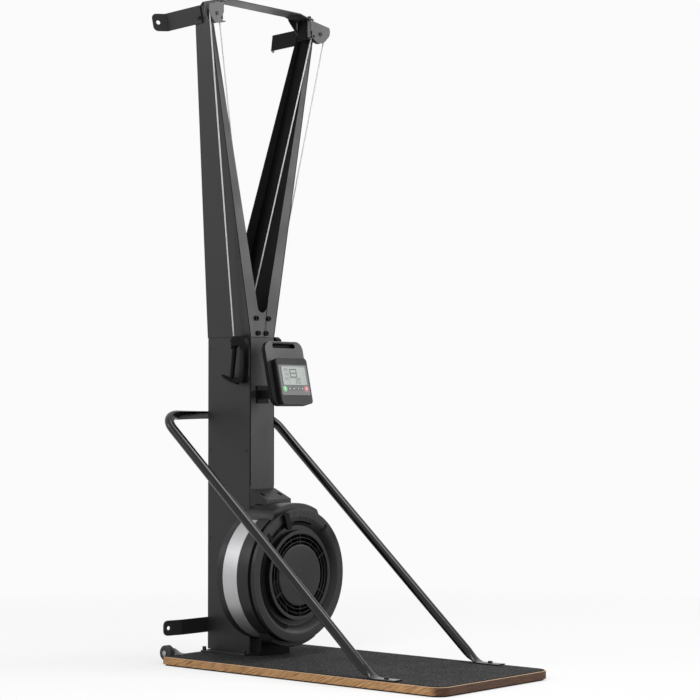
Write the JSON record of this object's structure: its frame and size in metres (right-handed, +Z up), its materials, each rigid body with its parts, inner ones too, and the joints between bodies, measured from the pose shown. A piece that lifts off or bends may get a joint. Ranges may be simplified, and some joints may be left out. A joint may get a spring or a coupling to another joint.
{
  "type": "ski trainer machine",
  "caption": "Standing ski trainer: spread arms with cord pulleys and handles, a fan flywheel, a tilting display and a wooden base board.",
  "frame": {"origin": "centre of the underlay's underside, on the floor", "axes": "+X to the user's right, +Y the way the user faces, from the front of the board to the column, +Z up"},
  "size_m": [0.6116, 1.242, 2.233],
  "materials": {
    "underlay_foam": "matt foam",
    "board_wood": "sealed cut edge",
    "grip_mat": "gritty",
    "black_steel": "semi-gloss powder coat",
    "dark_steel": "black oxide",
    "grey_steel": "zinc",
    "satin_steel": "satin",
    "black_plastic": "satin",
    "console_plastic": "satin",
    "cord": "braided",
    "lcd": "clear over grey",
    "button_green": "satin",
    "button_white": "satin",
    "button_red": "satin",
    "wheel_rubber": "matt"
  },
  "bodies": {
    "frame": {"base_underlay": "underlay_foam", "base_board": "board_wood", "base_mat": "grip_mat", "column_foot_plate": "black_steel", "column_frame": "black_steel", "left_side_cover": "black_steel", "right_side_cover": "black_steel", "left_arm": "black_steel", "right_arm": "black_steel", "top_bridge": "black_steel", "left_swivel_bracket": "black_steel", "right_swivel_bracket": "black_steel", "left_swivel_pin": "dark_steel", "right_swivel_pin": "dark_steel", "left_upper_wall_bracket": "black_steel", "right_upper_wall_bracket": "black_steel", "lower_wall_bracket": "black_steel", "brace_tube": "black_steel", "flywheel_rear_shell": "black_plastic", "flywheel_band": "satin_steel", "flywheel_mid_ring": "black_plastic", "flywheel_front_cover": "black_plastic", "grill_cap": "black_plastic", "front_bearing": "satin_steel", "rear_bearing": "satin_steel", "housing_mount_bracket": "black_steel", "housing_saddle": "black_steel", "left_handle_hook": "black_steel", "right_handle_hook": "black_steel", "console_bracket": "black_steel", "left_wheel_bracket": "grey_steel", "right_wheel_bracket": "grey_steel", "left_drive_cord": "cord", "right_drive_cord": "cord"},
    "left_block": {"left_pulley_block": "grey_steel", "left_pulley_axle": "dark_steel"},
    "right_block": {"right_pulley_block": "grey_steel", "right_pulley_axle": "dark_steel"},
    "left_wheel": {"left_pulley_wheel": "black_plastic"},
    "right_wheel": {"right_pulley_wheel": "black_plastic"},
    "left_cord_line": {"left_handle_cord": "cord"},
    "right_cord_line": {"right_handle_cord": "cord"},
    "left_grip": {"left_handle": "black_plastic"},
    "right_grip": {"right_handle": "black_plastic"},
    "left_drum": {"left_cord_drum": "black_plastic"},
    "right_drum": {"right_cord_drum": "black_plastic"},
    "flywheel": {"fan_rotor": "grey_steel", "drive_shaft": "satin_steel"},
    "damper": {"damper_lever": "black_plastic"},
    "display_unit": {"console_housing": "console_plastic", "console_panel": "console_plastic", "display_lens": "lcd"},
    "green_key": {"green_button": "button_green"},
    "white_key_1": {"white_button_1": "button_white"},
    "white_key_2": {"white_button_2": "button_white"},
    "white_key_3": {"white_button_3": "button_white"},
    "white_key_4": {"white_button_4": "button_white"},
    "red_key": {"red_button": "button_red"},
    "left_roller": {"left_transport_wheel": "wheel_rubber"},
    "right_roller": {"right_transport_wheel": "wheel_rubber"}
  },
  "joints": [
    {"name": "left_swivel", "type": "hinge", "parent": "frame", "child": "left_block", "pos_m": [-0.219, 0.387, 2.18], "axis": [0, 0, 1], "range_deg": [0, 20], "deforming": ["left_drive_cord"]},
    {"name": "right_swivel", "type": "hinge", "parent": "frame", "child": "right_block", "pos_m": [0.219, 0.387, 2.18], "axis": [0, 0, 1], "range_deg": [-20, 0], "deforming": ["right_drive_cord"]},
    {"name": "left_swing", "type": "hinge", "parent": "left_block", "child": "left_cord_line", "pos_m": [-0.28496, 0.37537, 2.16575], "axis": [-0.9397, 0.342, 0], "range_deg": [0, 30]},
    {"name": "right_swing", "type": "hinge", "parent": "right_block", "child": "right_cord_line", "pos_m": [0.28496, 0.37537, 2.16575], "axis": [-0.9397, -0.342, 0], "range_deg": [0, 30]},
    {"name": "left_pull", "type": "slide", "parent": "left_cord_line", "child": "left_grip", "axis": [-0.1872, -0.0781, 0.9792], "range_m": [0, 0.95], "deforming": ["left_handle_cord"]},
    {"name": "right_pull", "type": "slide", "parent": "right_cord_line", "child": "right_grip", "axis": [0.1872, -0.0781, 0.9792], "range_m": [0, 0.95], "deforming": ["right_handle_cord"]},
    {"name": "left_wheel_turn", "type": "hinge", "parent": "left_block", "child": "left_wheel", "pos_m": [-0.25938, 0.37988, 2.171], "axis": [-0.1736, 0.9848, 0], "range_deg": [0, 2060]},
    {"name": "right_wheel_turn", "type": "hinge", "parent": "right_block", "child": "right_wheel", "pos_m": [0.25938, 0.37988, 2.171], "axis": [0.1736, 0.9848, 0], "range_deg": [-2060, 0]},
    {"name": "left_drum_turn", "type": "hinge", "parent": "frame", "child": "left_drum", "pos_m": [0, 0.446, 0.304], "axis": [0, 1, 0], "range_deg": [-2660, 0]},
    {"name": "right_drum_turn", "type": "hinge", "parent": "frame", "child": "right_drum", "pos_m": [0, 0.482, 0.304], "axis": [0, 1, 0], "range_deg": [0, 2660]},
    {"name": "flywheel_spin", "type": "hinge", "parent": "frame", "child": "flywheel", "pos_m": [0, 0.32, 0.304], "axis": [0, 1, 0], "continuous": true},
    {"name": "damper_turn", "type": "hinge", "parent": "frame", "child": "damper", "pos_m": [0, 0.24, 0.304], "axis": [0, 1, 0], "range_deg": [0, 40]},
    {"name": "display_tilt", "type": "hinge", "parent": "frame", "child": "display_unit", "pos_m": [0, 0.306, 0.908], "axis": [1, 0, 0], "range_deg": [-15, 25]},
    {"name": "green_press", "type": "slide", "parent": "display_unit", "child": "green_key", "axis": [0, 0.9763, -0.2164], "range_m": [0, 0.0012], "stiffness_N_per_m": 400},
    {"name": "white_press_1", "type": "slide", "parent": "display_unit", "child": "white_key_1", "axis": [0, 0.9763, -0.2164], "range_m": [0, 0.0012], "stiffness_N_per_m": 400},
    {"name": "white_press_2", "type": "slide", "parent": "display_unit", "child": "white_key_2", "axis": [0, 0.9763, -0.2164], "range_m": [0, 0.0012], "stiffness_N_per_m": 400},
    {"name": "white_press_3", "type": "slide", "parent": "display_unit", "child": "white_key_3", "axis": [0, 0.9763, -0.2164], "range_m": [0, 0.0012], "stiffness_N_per_m": 400},
    {"name": "white_press_4", "type": "slide", "parent": "display_unit", "child": "white_key_4", "axis": [0, 0.9763, -0.2164], "range_m": [0, 0.0012], "stiffness_N_per_m": 400},
    {"name": "red_press", "type": "slide", "parent": "display_unit", "child": "red_key", "axis": [0, 0.9763, -0.2164], "range_m": [0, 0.0012], "stiffness_N_per_m": 400},
    {"name": "left_roller_turn", "type": "hinge", "parent": "frame", "child": "left_roller", "pos_m": [-0.236, 0.621, 0.036], "axis": [1, 0, 0], "continuous": true},
    {"name": "right_roller_turn", "type": "hinge", "parent": "frame", "child": "right_roller", "pos_m": [0.236, 0.621, 0.036], "axis": [1, 0, 0], "continuous": true}
  ],
  "couplings": [
    {"joint": "left_swivel", "follows": "left_swing", "ratio": 0.6667},
    {"joint": "right_swivel", "follows": "right_swing", "ratio": -0.6667},
    {"joint": "left_wheel_turn", "follows": "left_pull", "rad_per_m": 37.7},
    {"joint": "right_wheel_turn", "follows": "right_pull", "rad_per_m": -37.7},
    {"joint": "left_drum_turn", "follows": "left_pull", "rad_per_m": -48.8},
    {"joint": "right_drum_turn", "follows": "right_pull", "rad_per_m": 48.8}
  ]
}
